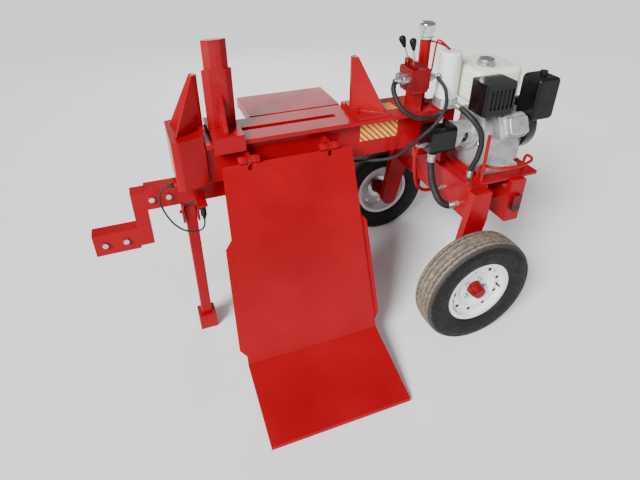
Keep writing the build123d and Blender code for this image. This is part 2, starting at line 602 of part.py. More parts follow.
MUFFLER = (1236, 1392, -345, -225, 1090, 1230)
STUB = (1352, 1380, -300, -268)
with BuildPart() as muffler:
    x0, x1, y0, y1, z0, z1 = MUFFLER
    block(x0 + 12, x1 - 12, y0 + 12, y1 - 10, z0 + 12, z1 - 12)
    fillet(muffler.edges(), 18)
    # The exhaust stub stands on the cylinder, and two bosses carry the guard.
    with BuildSketch(Plane.YZ.offset(STUB[0])):
        with BuildLine():
            Polyline((STUB[2], 1072), (STUB[3], 1056), (STUB[3], z0 + 40), (STUB[2], z0 + 40), close=True)
        make_face()
    extrude(amount=STUB[1] - STUB[0])
    for x in (x0 + 40, x1 - 40):
        rod_z(x, (y0 + y1) / 2, z1 - 13, z1 - 4, 8)
save(muffler, "muffler")

with BuildPart() as muffler_guard:
    x0, x1, y0, y1, z0, z1 = MUFFLER
    block(x0, x1, y0, y1, z0, z1)
    fillet(muffler_guard.edges().filter_by(Axis.Z), 16)
    block(x0 + 4, x1 - 4, y0 + 4, y1 + 1, z0 + 4, z1 - 4, mode=Mode.SUBTRACT)
    block(STUB[0] - 2, STUB[1] + 2, STUB[2] - 2, STUB[3] + 2, z0 - 1, z0 + 5, mode=Mode.SUBTRACT)
    for k in range(6):
        slot_x = x0 + 26 + k * 21
        block(slot_x, slot_x + 10, y0 - 1, y0 + 5, z0 + 26, z1 - 26, mode=Mode.SUBTRACT)
save(muffler_guard, "muffler_guard")

with BuildPart() as air_cleaner:
    block(1488, 1606, -364, -258, 1040, 1232)
    fillet(air_cleaner.edges().filter_by(Axis.Y), 22)
    fillet(air_cleaner.faces().sort_by(Axis.Y)[0].edges(), 12)
    rod_z(1547, -312, 1231, 1252, 17)
    block(1484, 1540, -332, -288, 996, 1042)
save(air_cleaner, "air_cleaner")

with BuildPart() as fuel_tank:
    block(1274, 1530, -222, 30, 1092, 1246)
    fillet(fuel_tank.edges().filter_by(Axis.Z), 40)
    fillet(fuel_tank.faces().sort_by(Axis.Z)[-1].edges(), 26)
    fillet(fuel_tank.faces().sort_by(Axis.Z)[0].edges(), 18)
save(fuel_tank, "fuel_tank")

with BuildPart() as fuel_cap:
    rod_z(1360, -150, 1246, 1252, 30)
    rod_z(1360, -150, 1252, 1284, 38)
    fillet(fuel_cap.faces().sort_by(Axis.Z)[-1].edges(), 5)
save(fuel_cap, "fuel_cap")

with BuildPart() as recoil_housing:
    rod_x(ENGINE_X1, ENGINE_X1 + 62, CRANK_Y, CRANK_Z + 12, 128)
    fillet(recoil_housing.faces().sort_by(Axis.X)[-1].edges(), 22)
    rod_x(ENGINE_X1 + 62, ENGINE_X1 + 72, CRANK_Y, CRANK_Z + 12, 62)
save(recoil_housing, "recoil_housing")

with BuildPart() as starter_handle:
    block(ENGINE_X1 + 72, ENGINE_X1 + 94, CRANK_Y - 35, CRANK_Y + 35, CRANK_Z + 4, CRANK_Z + 22)
    fillet(starter_handle.edges().filter_by(Axis.Y).group_by(Axis.X)[-1], 7)
save(starter_handle, "starter_handle")

# A round rod guards the lower front of the engine.
GUARD_Z, GUARD_R = 830, 7
guard_route = [(1326, -280, PLATE_TOP), (1326, -280, 818), (1334, -372, 838), (1452, -392, 834),
               (1560, -368, 842), (1588, -280, 826), (1588, -280, PLATE_TOP)]
tube(guard_route, 2 * GUARD_R, "engine_guard")

# ---- pump ------------------------------------------------------------------------------------------
PUMP_MOUNT_X0 = 1216
with BuildPart() as pump_mount:
    rod_x(PUMP_MOUNT_X0, ENGINE_X0 - 14, CRANK_Y, CRANK_Z, 60)
    rod_x(ENGINE_X0 - 26, ENGINE_X0 - 14, CRANK_Y, CRANK_Z, 78)
    rod_x(PUMP_MOUNT_X0, PUMP_MOUNT_X0 + 12, CRANK_Y, CRANK_Z, 68)
    rod_x(PUMP_MOUNT_X0 - 1, ENGINE_X0 - 13, CRANK_Y, CRANK_Z, 46, mode=Mode.SUBTRACT)
    block(PUMP_MOUNT_X0 + 30, ENGINE_X0 - 44, CRANK_Y - 80, CRANK_Y - 20, CRANK_Z - 26, CRANK_Z + 26,
          mode=Mode.SUBTRACT)
save(pump_mount, "pump_mount")

# The coupling joins the engine shaft to the pump shaft and turns with them.
with BuildPart() as shaft_coupling:
    rod_x(PUMP_MOUNT_X0 + 2, ENGINE_X0 - 15, CRANK_Y, CRANK_Z, 12)
    for x0, x1 in ((PUMP_MOUNT_X0 + 18, PUMP_MOUNT_X0 + 46), (PUMP_MOUNT_X0 + 50, PUMP_MOUNT_X0 + 78)):
        rod_x(x0, x1, CRANK_Y, CRANK_Z, 32)
    rod_x(PUMP_MOUNT_X0 + 45, PUMP_MOUNT_X0 + 51, CRANK_Y, CRANK_Z, 27)
save(shaft_coupling, "shaft_coupling")

with BuildPart() as pump:
    block(1086, PUMP_MOUNT_X0, CRANK_Y - 56, CRANK_Y + 56, CRANK_Z - 62, CRANK_Z + 62)
    fillet(pump.edges().filter_by(Axis.X), 20)
    fillet(pump.faces().sort_by(Axis.X)[0].edges(), 8)
    rod_z(1132, CRANK_Y, CRANK_Z - 80, CRANK_Z - 60, 24)
    rod_z(1150, CRANK_Y, CRANK_Z + 60, CRANK_Z + 76, 17)
save(pump, "pump")

# ---- control valve, levers, filter and filler -----------------------------------------------------------
VALVE = (990, 1084, -142, -34, 1168, 1262)
FILTER_X, FILTER_Y = 1212, -92
# A pedestal for the valve and a shelf for the filter, both welded to the beam.
with BuildPart() as valve_brackets:
    block(996, 1078, -104, -92, DECK_Z, 1156)
    block(996, 1078, -104, -40, DECK_Z, DECK_Z + 10)
    block(996, 1078, -140, -36, 1156, 1168)
    block(FILTER_X - 40, FILTER_X + 40, FILTER_Y - 20, FILTER_Y + 40, 1050, 1058)
    block(FILTER_X - 20, FILTER_X + 40, -60, -52, BEAM_Z1, 1050)
save(valve_brackets, "valve_brackets")

LEVER_YS = (-62, -114)
LEVER_X, LEVER_Z = 1016, 1282
with BuildPart() as valve_body:
    x0, x1, y0, y1, z0, z1 = VALVE
    block(x0, x1, y0, y1, z0, z1)
    fillet(valve_body.edges().filter_by(Axis.Y), 8)
    for y in LEVER_YS:
        for y0, y1 in ((y - 14, y - 7), (y + 7, y + 14)):
            block(LEVER_X - 12, LEVER_X + 12, y0, y1, z1 - 2, LEVER_Z + 12)
        rod_y(LEVER_X, y - 16, y + 16, LEVER_Z, 4)
        rod_x(x1, x1 + 26, y, (z0 + z1) / 2, 18)
        rod_x(x0 - 26, x0, y, (z0 + z1) / 2, 18)
save(valve_body, "valve_body")


def lever(y, lean_x, name):
    """A valve lever: forked foot on its pin, a thin stem and a ball-ended grip."""
    foot = Vector(LEVER_X, y, LEVER_Z)
    tip = foot + Vector(lean_x, 0, 108)
    stem = (tip - foot).normalized()
    with BuildPart() as piece:
        rod_y(LEVER_X, y - 6, y + 6, LEVER_Z, 10)
        with BuildSketch(Plane(origin=foot + stem * 5, z_dir=stem)):
            Circle(4.5)
        extrude(amount=(tip - foot).length - 34)
        with BuildSketch(Plane(origin=tip - stem * 44, z_dir=stem)):
            Circle(15)
        extrude(amount=48, taper=-4)
        fillet(piece.edges().filter_by(GeomType.CIRCLE).group_by(SortBy.RADIUS)[-1], 6)
        rod_y(LEVER_X, y - 7, y + 7, LEVER_Z, 4 + RUNNING, mode=Mode.SUBTRACT)
    save(piece, name)


lever(LEVER_YS[0], -46, "lift_lever")
lever(LEVER_YS[1], -22, "wedge_lever")

with BuildPart() as filter_head:
    block(FILTER_X - 46, FILTER_X + 46, FILTER_Y - 46, FILTER_Y + 46, 1058, 1104)
    fillet(filter_head.edges().filter_by(Axis.Z), 20)
    rod_y(FILTER_X + 16, FILTER_Y - 64, FILTER_Y - 45, 1081, 18)
save(filter_head, "filter_head")

with BuildPart() as filter_canister:
    rod_z(FILTER_X, FILTER_Y, 1104, 1314, 50)
    fillet(filter_canister.faces().sort_by(Axis.Z)[-1].edges(), 12)
    rod_z(FILTER_X, FILTER_Y, 1108, 1116, 52)
save(filter_canister, "filter_canister")

NECK_X, NECK_Y, NECK_TOP = 1136, 8, 1352
with BuildPart() as filler_neck:
    rod_z(NECK_X, NECK_Y, DECK_Z, NECK_TOP, 25)
    rod_z(NECK_X, NECK_Y, DECK_Z, DECK_Z + 10, 46)
    rod_z(NECK_X, NECK_Y, DECK_Z + 5, NECK_TOP + 1, 20, mode=Mode.SUBTRACT)
save(filler_neck, "filler_neck")

with BuildPart() as breather_cap:
    rod_z(NECK_X, NECK_Y, NECK_TOP, NECK_TOP + 10, 34)
    rod_z(NECK_X, NECK_Y, NECK_TOP + 10, NECK_TOP + 34, 30)
    rod_z(NECK_X, NECK_Y, NECK_TOP + 34, NECK_TOP + 72, 37)
    fillet(breather_cap.faces().sort_by(Axis.Z)[-1].edges(), 8)
    rod_z(NECK_X, NECK_Y, NECK_TOP - 30, NECK_TOP, 20 - RUNNING)
save(breather_cap, "breather_cap")

# ---- hoses and rigid tubes, held between two fittings ---------------------------------------------------
valve_z = (VALVE[4] + VALVE[5]) / 2
tube([(VALVE[0] - 26, LEVER_YS[1], valve_z), (VALVE[0] - 66, LEVER_YS[1], valve_z), (898, -150, 1190),
      (915, -200, 1120), (990, -222, 1074), (1080, -206, 1064), (1150, CRANK_Y, 1052),
      (1150, CRANK_Y, CRANK_Z + 76)], 22, "pressure_hose")
tube([(1132, CRANK_Y, CRANK_Z - 80), (1132, CRANK_Y, 786), (1134, -190, 700), (1150, -240, 630),
      (1186, -262, 604), (TANK_X0, -262, 604)], 34, "suction_hose")
tube([(FILTER_X + 16, FILTER_Y - 64, 1081), (FILTER_X + 16, -196, 1081), (1252, -252, 1052), (1292, -288, 992),
      (1302, -292, 920), (1296, -284, 850), (1286, -266, 795), (1286, -266, TANK_Z1)], 26, "return_hose")
tube([(VALVE[1] + 26, LEVER_YS[1], valve_z), (VALVE[1] + 48, LEVER_YS[1], valve_z), (1150, -170, 1180),
      (1124, -238, 1120), (1064, -252, 1046), (1016, -214, 976), (988, -160, 900), (956, -112, 838),
      (890, -62, 812), (800, -8, 800), (706, 50, 776), (632, 116, 738), (576, *RAM_BASE),
      (RAM_X + 50, *RAM_BASE)], 16, "lift_hose")

# A rigid steel pipe runs from the pump's front end down to the tank.
tube([(1086, CRANK_Y, 905), (1046, CRANK_Y, 905), (1034, -166, 850), (1040, -172, 770), (1062, -168, 694),
      (1108, -158, 652), (1160, -150, 640), (TANK_X0, -150, 640)], 18, "steel_pipe")

# ---- light cable and its plug ------------------------------------------------------------------------------
tube(CABLE_ROUTE, CABLE_D, "light_cable")
plug_x, _, plug_z0 = CABLE_ROUTE[-1]
with BuildPart() as cable_plug:
    rod_z(plug_x, CABLE_Y, plug_z0, plug_z0 + 16, 8)
    rod_z(plug_x, CABLE_Y, plug_z0 + 16, PLUG_TOP - 8, 13)
    rod_z(plug_x, CABLE_Y, PLUG_TOP - 8, PLUG_TOP, 15)
save(cable_plug, "cable_plug")

print("ram rest length", round(ram_length, 2), "eye", ram_eye, "axis", ram_axis)
swing = radians(LIFT_TILT + LIFT_RAISE)
up_down = Vector(0, -sin(swing), -cos(swing))
up_outward = Vector(0, -cos(swing), sin(swing))
raised = hinge + up_down * RAM_DOWN - up_outward * RAM_BACK
raised_vector = Vector(RAM_X, raised.Y, raised.Z) - ram_base
print("ram raised length", round(raised_vector.length, 2), "turn",
      round(degrees(atan2(raised_vector.Z, raised_vector.Y) - atan2(ram_axis.Z, ram_axis.Y)), 3))
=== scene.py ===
"""Log splitter: materials, detailed pieces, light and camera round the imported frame. Metres throughout."""

import json
import math

import bmesh
import bpy
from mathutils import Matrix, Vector


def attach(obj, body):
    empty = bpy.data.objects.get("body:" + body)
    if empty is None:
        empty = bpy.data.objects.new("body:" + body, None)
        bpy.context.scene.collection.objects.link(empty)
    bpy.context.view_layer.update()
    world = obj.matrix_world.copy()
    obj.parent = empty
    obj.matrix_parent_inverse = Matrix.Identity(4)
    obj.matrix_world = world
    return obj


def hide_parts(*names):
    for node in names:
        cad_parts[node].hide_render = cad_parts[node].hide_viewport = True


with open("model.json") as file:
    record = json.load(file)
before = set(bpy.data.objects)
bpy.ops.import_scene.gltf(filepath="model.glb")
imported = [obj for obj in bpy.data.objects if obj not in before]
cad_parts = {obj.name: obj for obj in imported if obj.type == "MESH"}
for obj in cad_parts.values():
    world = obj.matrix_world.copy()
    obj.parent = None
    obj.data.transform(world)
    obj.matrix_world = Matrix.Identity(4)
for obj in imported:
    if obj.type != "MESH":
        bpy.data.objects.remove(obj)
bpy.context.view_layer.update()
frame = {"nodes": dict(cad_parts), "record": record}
NODES = frame["nodes"]


def add_object(name, data):
    """Makes an object and links it to the scene."""
    made = bpy.data.objects.new(name, data)
    bpy.context.scene.collection.objects.link(made)
    return made


# ---- camera and light -------------------------------------------------------------------
camera_data = bpy.data.cameras.new("camera")
camera_data.lens = 27.85
camera_data.sensor_width = 36
camera_data.shift_y = -0.0703
camera_data.clip_end = 100
camera = add_object("camera", camera_data)
camera.location = (-0.119, -1.9328, 1.9267)
camera.rotation_euler = (math.radians(58.14), 0, math.radians(-21))
bpy.context.scene.camera = camera


MIDDLE = (0.55, -0.1, 0.8)


def area_light(name, place, size, power):
    """A soft square light aimed at the machine's middle."""
    data = bpy.data.lights.new(name, "AREA")
    data.shape = "SQUARE"
    data.size = size
    data.energy = power
    light = add_object(name, data)
    light.location = place
    light.rotation_euler = (Vector(MIDDLE) - Vector(place)).to_track_quat("-Z", "Y").to_euler()


area_light("key", (-2.4, -2.6, 3.4), 2.4, 60)
area_light("back", (1.5, 4.0, 2.6), 2.5, 50)
sun_data = bpy.data.lights.new("daylight", "SUN")
sun_data.energy = 6.0
sun_data.angle = math.radians(22)
sun = add_object("daylight", sun_data)
sun.rotation_euler = (math.radians(28), math.radians(-48), 0)

world = bpy.data.worlds.new("studio")
world.use_nodes = True
background = world.node_tree.nodes["Background"]
background.inputs["Color"].default_value = (0.95, 0.97, 1.0, 1)
background.inputs["Strength"].default_value = 0.28
bpy.context.scene.world = world


# ---- material building --------------------------------------------------------------------
class Surface:
    """A Principled material whose colour, roughness and relief come from object-space patterns."""

    def __init__(self, name):
        self.material = bpy.data.materials.new(name)
        self.material.use_nodes = True
        self.tree = self.material.node_tree
        self.shader = self.tree.nodes["Principled BSDF"]
        self.coords = self.tree.nodes.new("ShaderNodeTexCoord").outputs["Object"]

    def node(self, kind, **settings):
        made = self.tree.nodes.new(kind)
        for key, value in settings.items():
            setattr(made, key, value)
        return made

    def link(self, source, target):
        self.tree.links.new(source, target)

    def fix(self, **values):
        """Sets constants on the shader's own sockets."""
        for key, value in values.items():
            self.shader.inputs[key.replace("_", " ")].default_value = value

    def placed(self, scale):
        """Object coordinates with a scale of their own along each axis."""
        mapping = self.node("ShaderNodeMapping")
        mapping.inputs["Scale"].default_value = scale
        self.link(self.coords, mapping.inputs["Vector"])
        return mapping.outputs["Vector"]

    def noise(self, scale, detail=4, vector=None):
        made = self.node("ShaderNodeTexNoise")
        made.inputs["Scale"].default_value = scale
        made.inputs["Detail"].default_value = detail
        self.link(vector or self.coords, made.inputs["Vector"])
        return made.outputs["Fac"]

    def wave(self, scale, distortion, bands):
        made = self.node("ShaderNodeTexWave", bands_direction=bands)
        made.inputs["Scale"].default_value = scale
        made.inputs["Distortion"].default_value = distortion
        self.link(self.coords, made.inputs["Vector"])
        return made.outputs["Fac"]

    def remap(self, value, from_low, from_high, to_low, to_high):
        made = self.node("ShaderNodeMapRange")
        for key, number in zip(("From Min", "From Max", "To Min", "To Max"),
                               (from_low, from_high, to_low, to_high)):
            made.inputs[key].default_value = number
        self.link(value, made.inputs["Value"])
        return made.outputs["Result"]

    def math(self, operation, a, b=None):
        made = self.node("ShaderNodeMath", operation=operation)
        for k, value in enumerate((a, b)):
            if isinstance(value, (int, float)):
                made.inputs[k].default_value = value
            elif value is not None:
                self.link(value, made.inputs[k])
        return made.outputs[0]

    def ramp(self, value, dark, light, low=0.3, high=0.7):
        """Colour from dark to light as value goes from low to high."""
        made = self.node("ShaderNodeValToRGB")
        for element, place, colour in zip(made.color_ramp.elements, (low, high), (dark, light)):
            element.position = place
            element.color = (*colour, 1)
        self.link(value, made.inputs[0])
        return made.outputs["Color"]

    def mix(self, mask, a, b):
        """b over a where the mask is 1; a and b are colour sockets or colours."""
        made = self.node("ShaderNodeMix", data_type="RGBA")
        self.link(mask, made.inputs["Factor"])
        for key, value in ((6, a), (7, b)):
            if isinstance(value, tuple):
                made.inputs[key].default_value = (*value, 1)
            else:
                self.link(value, made.inputs[key])
        return made.outputs[2]

    def axis(self, letter):
        parts = self.node("ShaderNodeSeparateXYZ")
        self.link(self.coords, parts.inputs[0])
        return parts.outputs[letter]

    def above(self, value, edge, soft=0.0004):
        """1 where value is above the edge."""
        return self.remap(value, edge - soft, edge + soft, 0, 1)

    def radius(self, centre):
        """Distance from the line along Y through centre."""
        squares = []
        for letter, middle in (("X", centre[0]), ("Z", centre[2])):
            away = self.math("SUBTRACT", self.axis(letter), middle)
            squares.append(self.math("MULTIPLY", away, away))
        return self.math("SQRT", self.math("ADD", *squares))

    def worn(self):
        """1 on sharp outer edges, broken up by noise."""
        pointed = self.node("ShaderNodeNewGeometry").outputs["Pointiness"]
        edge = self.remap(pointed, 0.53, 0.62, 0, 1)
        return self.math("MULTIPLY", edge, self.remap(self.noise(55, 6), 0.42, 0.62, 0, 1))

    def colour(self, socket):
        self.link(socket, self.shader.inputs["Base Color"])

    def rough(self, low, high, scale=18, vector=None):
        """Roughness from low to high in patches."""
        self.link(self.remap(self.noise(scale, 6, vector), 0.3, 0.7, low, high),
                  self.shader.inputs["Roughness"])

    def relief(self, distance, *heights):
        """Adds bumps of the given height in metres, each from its own pattern."""
        normal = None
        for height in heights:
            bump = self.node("ShaderNodeBump")
            bump.inputs["Distance"].default_value = distance
            bump.inputs["Strength"].default_value = 0.7
            self.link(height, bump.inputs["Height"])
            if normal is not None:
                self.link(normal, bump.inputs["Normal"])
            normal = bump.outputs["Normal"]
        self.link(normal, self.shader.inputs["Normal"])


GRAIN_SCALE = 90


def enamel(name, dark, light, rough=(0.24, 0.36), coat=0.07, dust=0.03, soil=(0.16, 0.03, 0.025)):
    """Glossy paint: slight orange peel, faint patches of dust and long thin scuffs."""
    s = Surface(name)
    base = s.ramp(s.noise(2.6, 5), dark, light)
    patches = s.remap(s.noise(9, 8), 0.52, 0.78, 0, dust)
    grime = s.math("MULTIPLY", patches, s.remap(s.noise(160, 3), 0.35, 0.7, 0.5, 1))
    streaks = s.remap(s.noise(150, 3, s.placed((1, 0.05, 0.05))), 0.7, 0.76, 0, 1)
    scuffs = s.math("MULTIPLY", streaks, s.remap(s.noise(5, 4), 0.5, 0.7, 0, 0.35))
    s.colour(s.mix(scuffs, s.mix(grime, base, soil), soil))
    s.rough(*rough, scale=12)
    s.relief(0.00025, s.noise(230, 2), s.noise(38, 2))
    s.fix(Coat_Weight=coat, Coat_Roughness=0.1, Specular_IOR_Level=0.14)
    return s.material


def metal(name, dark, light, rough, grain=(1, 1, 1), relief=0.0001):
    """Bare metal with a mottled tone and a fine grain along one direction."""
    s = Surface(name)
    along = s.placed(grain)
    mottle = s.math("MULTIPLY", s.noise(14, 6), 0.6)
    tone = s.math("ADD", mottle, s.math("MULTIPLY", s.noise(GRAIN_SCALE, 4, along), 0.4))
    s.colour(s.ramp(tone, dark, light, 0.33, 0.66))
    s.rough(*rough, scale=GRAIN_SCALE, vector=along)
    s.relief(relief, s.noise(GRAIN_SCALE * 3, 3, along))
    s.fix(Metallic=1.0)
    return s.material


def cast(name, dark, light):
    """Sand-cast metal: pebbly skin, brighter on its edges."""
    s = Surface(name)
    bright = tuple(min(1, c * 1.25) for c in light)
    s.colour(s.mix(s.worn(), s.ramp(s.noise(22, 8), dark, light), bright))
    s.rough(0.42, 0.62, scale=60)
    s.relief(0.0006, s.noise(420, 4), s.noise(1300, 2))
    s.fix(Metallic=0.85)
    return s.material


def plastic(name, dark, light, rough=(0.28, 0.42), coat=0.0):
    """Moulded plastic or gloss black enamel with a faint grain and settled dust."""
    s = Surface(name)
    base = s.ramp(s.noise(7, 5), dark, light)
    s.colour(s.mix(s.remap(s.noise(26, 8), 0.55, 0.85, 0, 0.25), base, (0.035, 0.032, 0.03)))
    s.rough(*rough, scale=30)
    s.relief(0.00012, s.noise(800, 3))
    s.fix(Coat_Weight=coat, Coat_Roughness=0.1, Specular_IOR_Level=0.22)
    return s.material


def hose_cover(name, dark, light):
    """Braided rubber cover with a cloth wrap mark."""
    s = Surface(name)
    weave = s.math("MULTIPLY", s.wave(420, 1.5, "DIAGONAL"), s.wave(390, 1.5, "Z"))
    dust = s.remap(s.noise(30, 6), 0.5, 0.8, 0, 0.3)
    s.colour(s.mix(dust, s.ramp(weave, dark, light, 0.2, 0.8), (0.05, 0.045, 0.04)))
    s.rough(0.5, 0.68, scale=45)
    s.relief(0.0004, weave)
    return s.material


SHOULDER_R = (0.262, 0.274)
GROOVE_R = (0.2792, 0.2812)


def tyre_rubber(name, centre):
    """Black sidewalls with fine moulding lines, and a tan dusty tread whose grooves carry painted shade."""
    s = Surface(name)
    away = s.radius(centre)
    ragged = s.math("ADD", away, s.remap(s.noise(70, 6), 0.3, 0.7, -0.004, 0.004))
    tread = s.remap(ragged, *SHOULDER_R, 0, 1)
    dust = s.ramp(s.noise(48, 8), (0.115, 0.092, 0.07), (0.27, 0.225, 0.175))
    # Painted shade: below the groove radius the tread is dark brown, so the grooves and shoulders are darker than the
    # dusty tops.
    dust = s.mix(s.remap(away, *GROOVE_R, 0, 1), (0.05, 0.043, 0.036), dust)
    wall = s.ramp(s.noise(30, 6), (0.0035, 0.0035, 0.0038), (0.011, 0.0105, 0.01), 0.3, 0.75)
    s.colour(s.mix(tread, wall, dust))
    s.rough(0.5, 0.78, scale=60)
    s.relief(0.0006, s.noise(700, 4), s.wave(160, 0, "Y"))
    s.fix(Specular_IOR_Level=0.25)
    return s.material


red = enamel("red_enamel", (0.25, 0.0006, 0.0045), (0.34, 0.001, 0.007))
red_blade = enamel("red_blade_enamel", (0.25, 0.0006, 0.005), (0.33, 0.001, 0.007), rough=(0.2, 0.38), dust=0.12,
                   soil=(0.3, 0.2, 0.18))
white = enamel("white_enamel", (0.68, 0.69, 0.7), (0.83, 0.84, 0.84), rough=(0.22, 0.4), coat=0.3, dust=0.12,
               soil=(0.42, 0.38, 0.34))
cream = enamel("cream_enamel", (0.74, 0.71, 0.6), (0.84, 0.81, 0.71), rough=(0.25, 0.38), coat=0.3, dust=0.12,
               soil=(0.4, 0.36, 0.28))
gloss_black = plastic("gloss_black_enamel", (0.002, 0.002, 0.0022), (0.006, 0.006, 0.0065), rough=(0.14, 0.26),
                      coat=0.15)
black_moulded = plastic("black_moulding", (0.003, 0.003, 0.0033), (0.009, 0.009, 0.0095))
zinc = metal("zinc_plate", (0.42, 0.42, 0.4), (0.68, 0.68, 0.66), (0.28, 0.45))
chrome = metal("hard_chrome", (0.66, 0.66, 0.68), (0.82, 0.82, 0.84), (0.06, 0.16), grain=(1, 18, 18), relief=0.00003)
aluminium = cast("cast_aluminium_skin", (0.42, 0.43, 0.44), (0.68, 0.69, 0.7))
hose = hose_cover("hose_cover", (0.003, 0.003, 0.0033), (0.012, 0.0115, 0.011))
MATERIALS = {"red_paint": red, "zinc_steel": zinc, "chrome_rod": chrome, "cast_aluminium": aluminium,
             "black_steel": gloss_black, "black_plastic": black_moulded, "cream_tank": cream, "white_paint": white,
             "hose_rubber": hose}


def two_tone(name, mask, first, second, rough=(0.2, 0.36), relief=0.00015):
    """One skin in two finishes. Each finish is (dark, light, metallic), and mask(s) is 1 on the second."""
    s = Surface(name)
    where = mask(s)
    tone = s.noise(16, 6)
    s.colour(s.mix(where, s.ramp(tone, first[0], first[1]), s.ramp(tone, second[0], second[1])))
    s.link(s.remap(where, 0, 1, first[2], second[2]), s.shader.inputs["Metallic"])
    s.rough(*rough, scale=34)
    s.relief(relief, s.noise(420, 4))
    s.fix(Coat_Weight=0.06, Coat_Roughness=0.12, Specular_IOR_Level=0.2)
    return s.material


DARK_RED = ((0.13, 0.001, 0.002), (0.2, 0.002, 0.004), 0.0)
ZINC = ((0.42, 0.42, 0.4), (0.68, 0.68, 0.66), 1.0)
BLACK = ((0.009, 0.009, 0.01), (0.028, 0.028, 0.03), 0.0)
LENS = ((0.07, 0.002, 0.004), (0.14, 0.004, 0.006), 0.0)



def dress(node, skin):
    """Gives a CAD node its own skin."""
    NODES[node].data.materials.clear()
    NODES[node].data.materials.append(skin)


for part in frame["record"]["subparts"]:
    if part["material_slot"] in MATERIALS:
        dress(part["node"], MATERIALS[part["material_slot"]])

AXLE = (1.22, 0.505, 0.285)
HUB_CAP_R = 0.0475
hub_skin = two_tone("hub_and_nuts", lambda s: s.above(s.radius(AXLE), HUB_CAP_R), DARK_RED, ZINC)
for side in ("near", "far"):
    dress(side + "_hub", hub_skin)
dress("wedge_blade", red_blade)
LEVER_FOOT_Z, GRIP = 1.282, 0.064
for lever in ("lift_lever", "wedge_lever"):
    dress(lever, two_tone(lever + "_skin", lambda s: s.above(s.axis("Z"), LEVER_FOOT_Z + GRIP), ZINC, BLACK))


def valve_ports(s):
    """1 on the ports, past both ends of the valve's body."""
    lowest, highest = 0.9895, 1.0845
    return s.math("ADD", s.above(s.axis("X"), highest), s.math("SUBTRACT", 1, s.above(s.axis("X"), lowest)))


dress("valve_body", two_tone("valve_casting", valve_ports, DARK_RED, ZINC, rough=(0.35, 0.5), relief=0.0005))
dress("cable_plug", black_moulded)


def lamp_lens(s):
    """1 on the lamps' outer faces."""
    return s.math("MULTIPLY", s.above(s.math("ABSOLUTE", s.axis("Y")), 0.3635), s.above(s.axis("Z"), 0.6))


dress("marker_lamps", two_tone("marker_lamps_skin", lamp_lens, BLACK, LENS))


# ---- small machined edges on the CAD pieces with flat faces -----------------------------------
EDGE_WIDTH = 0.0014


def soften(node):
    """Rounds a CAD node's sharp edges, so that they catch the light."""
    piece = NODES[node]
    weld = piece.modifiers.new("weld", "WELD")
    weld.merge_threshold = 0.00001
    bevel = piece.modifiers.new("edges", "BEVEL")
    bevel.width = EDGE_WIDTH
    bevel.segments = 2
    bevel.limit_method = "ANGLE"
    bevel.angle_limit = math.radians(50)
    bevel.harden_normals = True


for node in ("lift_plate", "left_end_block", "left_anvil", "right_anvil", "wedge_blade", "rear_cross_box",
             "hydraulic_tank", "far_table", "lift_ribs", "main_beam", "engine_plate", "chassis_braces"):
    soften(node)


# ---- mesh helpers ------------------------------------------------------------------------------
SHARP_ANGLE = math.radians(35)


def finish_piece(name, bm, body, slot, skin=None):
    """Makes a piece of a bmesh, shades it, and lets it ride on its body. The slot's own skin is the default."""
    mesh = bpy.data.meshes.new(name)
    bm.to_mesh(mesh)
    bm.free()
    piece = add_object(name, mesh)
    mesh.polygons.foreach_set("use_smooth", [True] * len(mesh.polygons))
    mesh.set_sharp_from_angle(angle=SHARP_ANGLE)
    mesh.materials.append(MATERIALS[slot] if skin is None else skin)
    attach(piece, body)
    return piece


def lathe(name, profile, centre, direction, body, slot, steps, skin=None, closed=False,
          shift=lambda k, step: (0, 0)):
    """Turns (along, radius) points round an axis; shift(k, step) moves a point along and outwards."""
    bm = bmesh.new()
    direction = Vector(direction).normalized()
    across = direction.orthogonal().normalized()
    up = direction.cross(across)
    rings = []
    for step in range(steps):
        angle = 2 * math.pi * step / steps
        spoke = across * math.cos(angle) + up * math.sin(angle)
        rings.append([bm.verts.new(Vector(centre) + direction * (along + shift(k, step)[0])
                                   + spoke * (radius + shift(k, step)[1]))
                      for k, (along, radius) in enumerate(profile)])
    count = len(profile)
    for step in range(steps):
        here, there = rings[step], rings[(step + 1) % steps]
        for k in range(count if closed else count - 1):
            bm.faces.new((here[k], here[(k + 1) % count], there[(k + 1) % count], there[k]))
    if not closed:
        bm.faces.new([ring[0] for ring in reversed(rings)])
        bm.faces.new([ring[-1] for ring in rings])
    bmesh.ops.recalc_face_normals(bm, faces=bm.faces)
    return finish_piece(name, bm, body, slot, skin)


def spline(name, points, radius, body, skin):
    """A round wire along smooth points, as a NURBS curve with its ends on the first and last point."""
    data = bpy.data.curves.new(name, "CURVE")
    data.dimensions = "3D"
    data.bevel_depth = radius
    data.bevel_resolution = 4
    data.use_fill_caps = True
    line = data.splines.new("NURBS")
    line.points.add(len(points) - 1)
    for point, place in zip(line.points, points):
        point.co = (*place, 1)
    line.order_u = 3
    line.use_endpoint_u = True
    line.resolution_u = 16
    data.materials.append(skin)
    piece = add_object(name, data)
    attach(piece, body)
    return piece


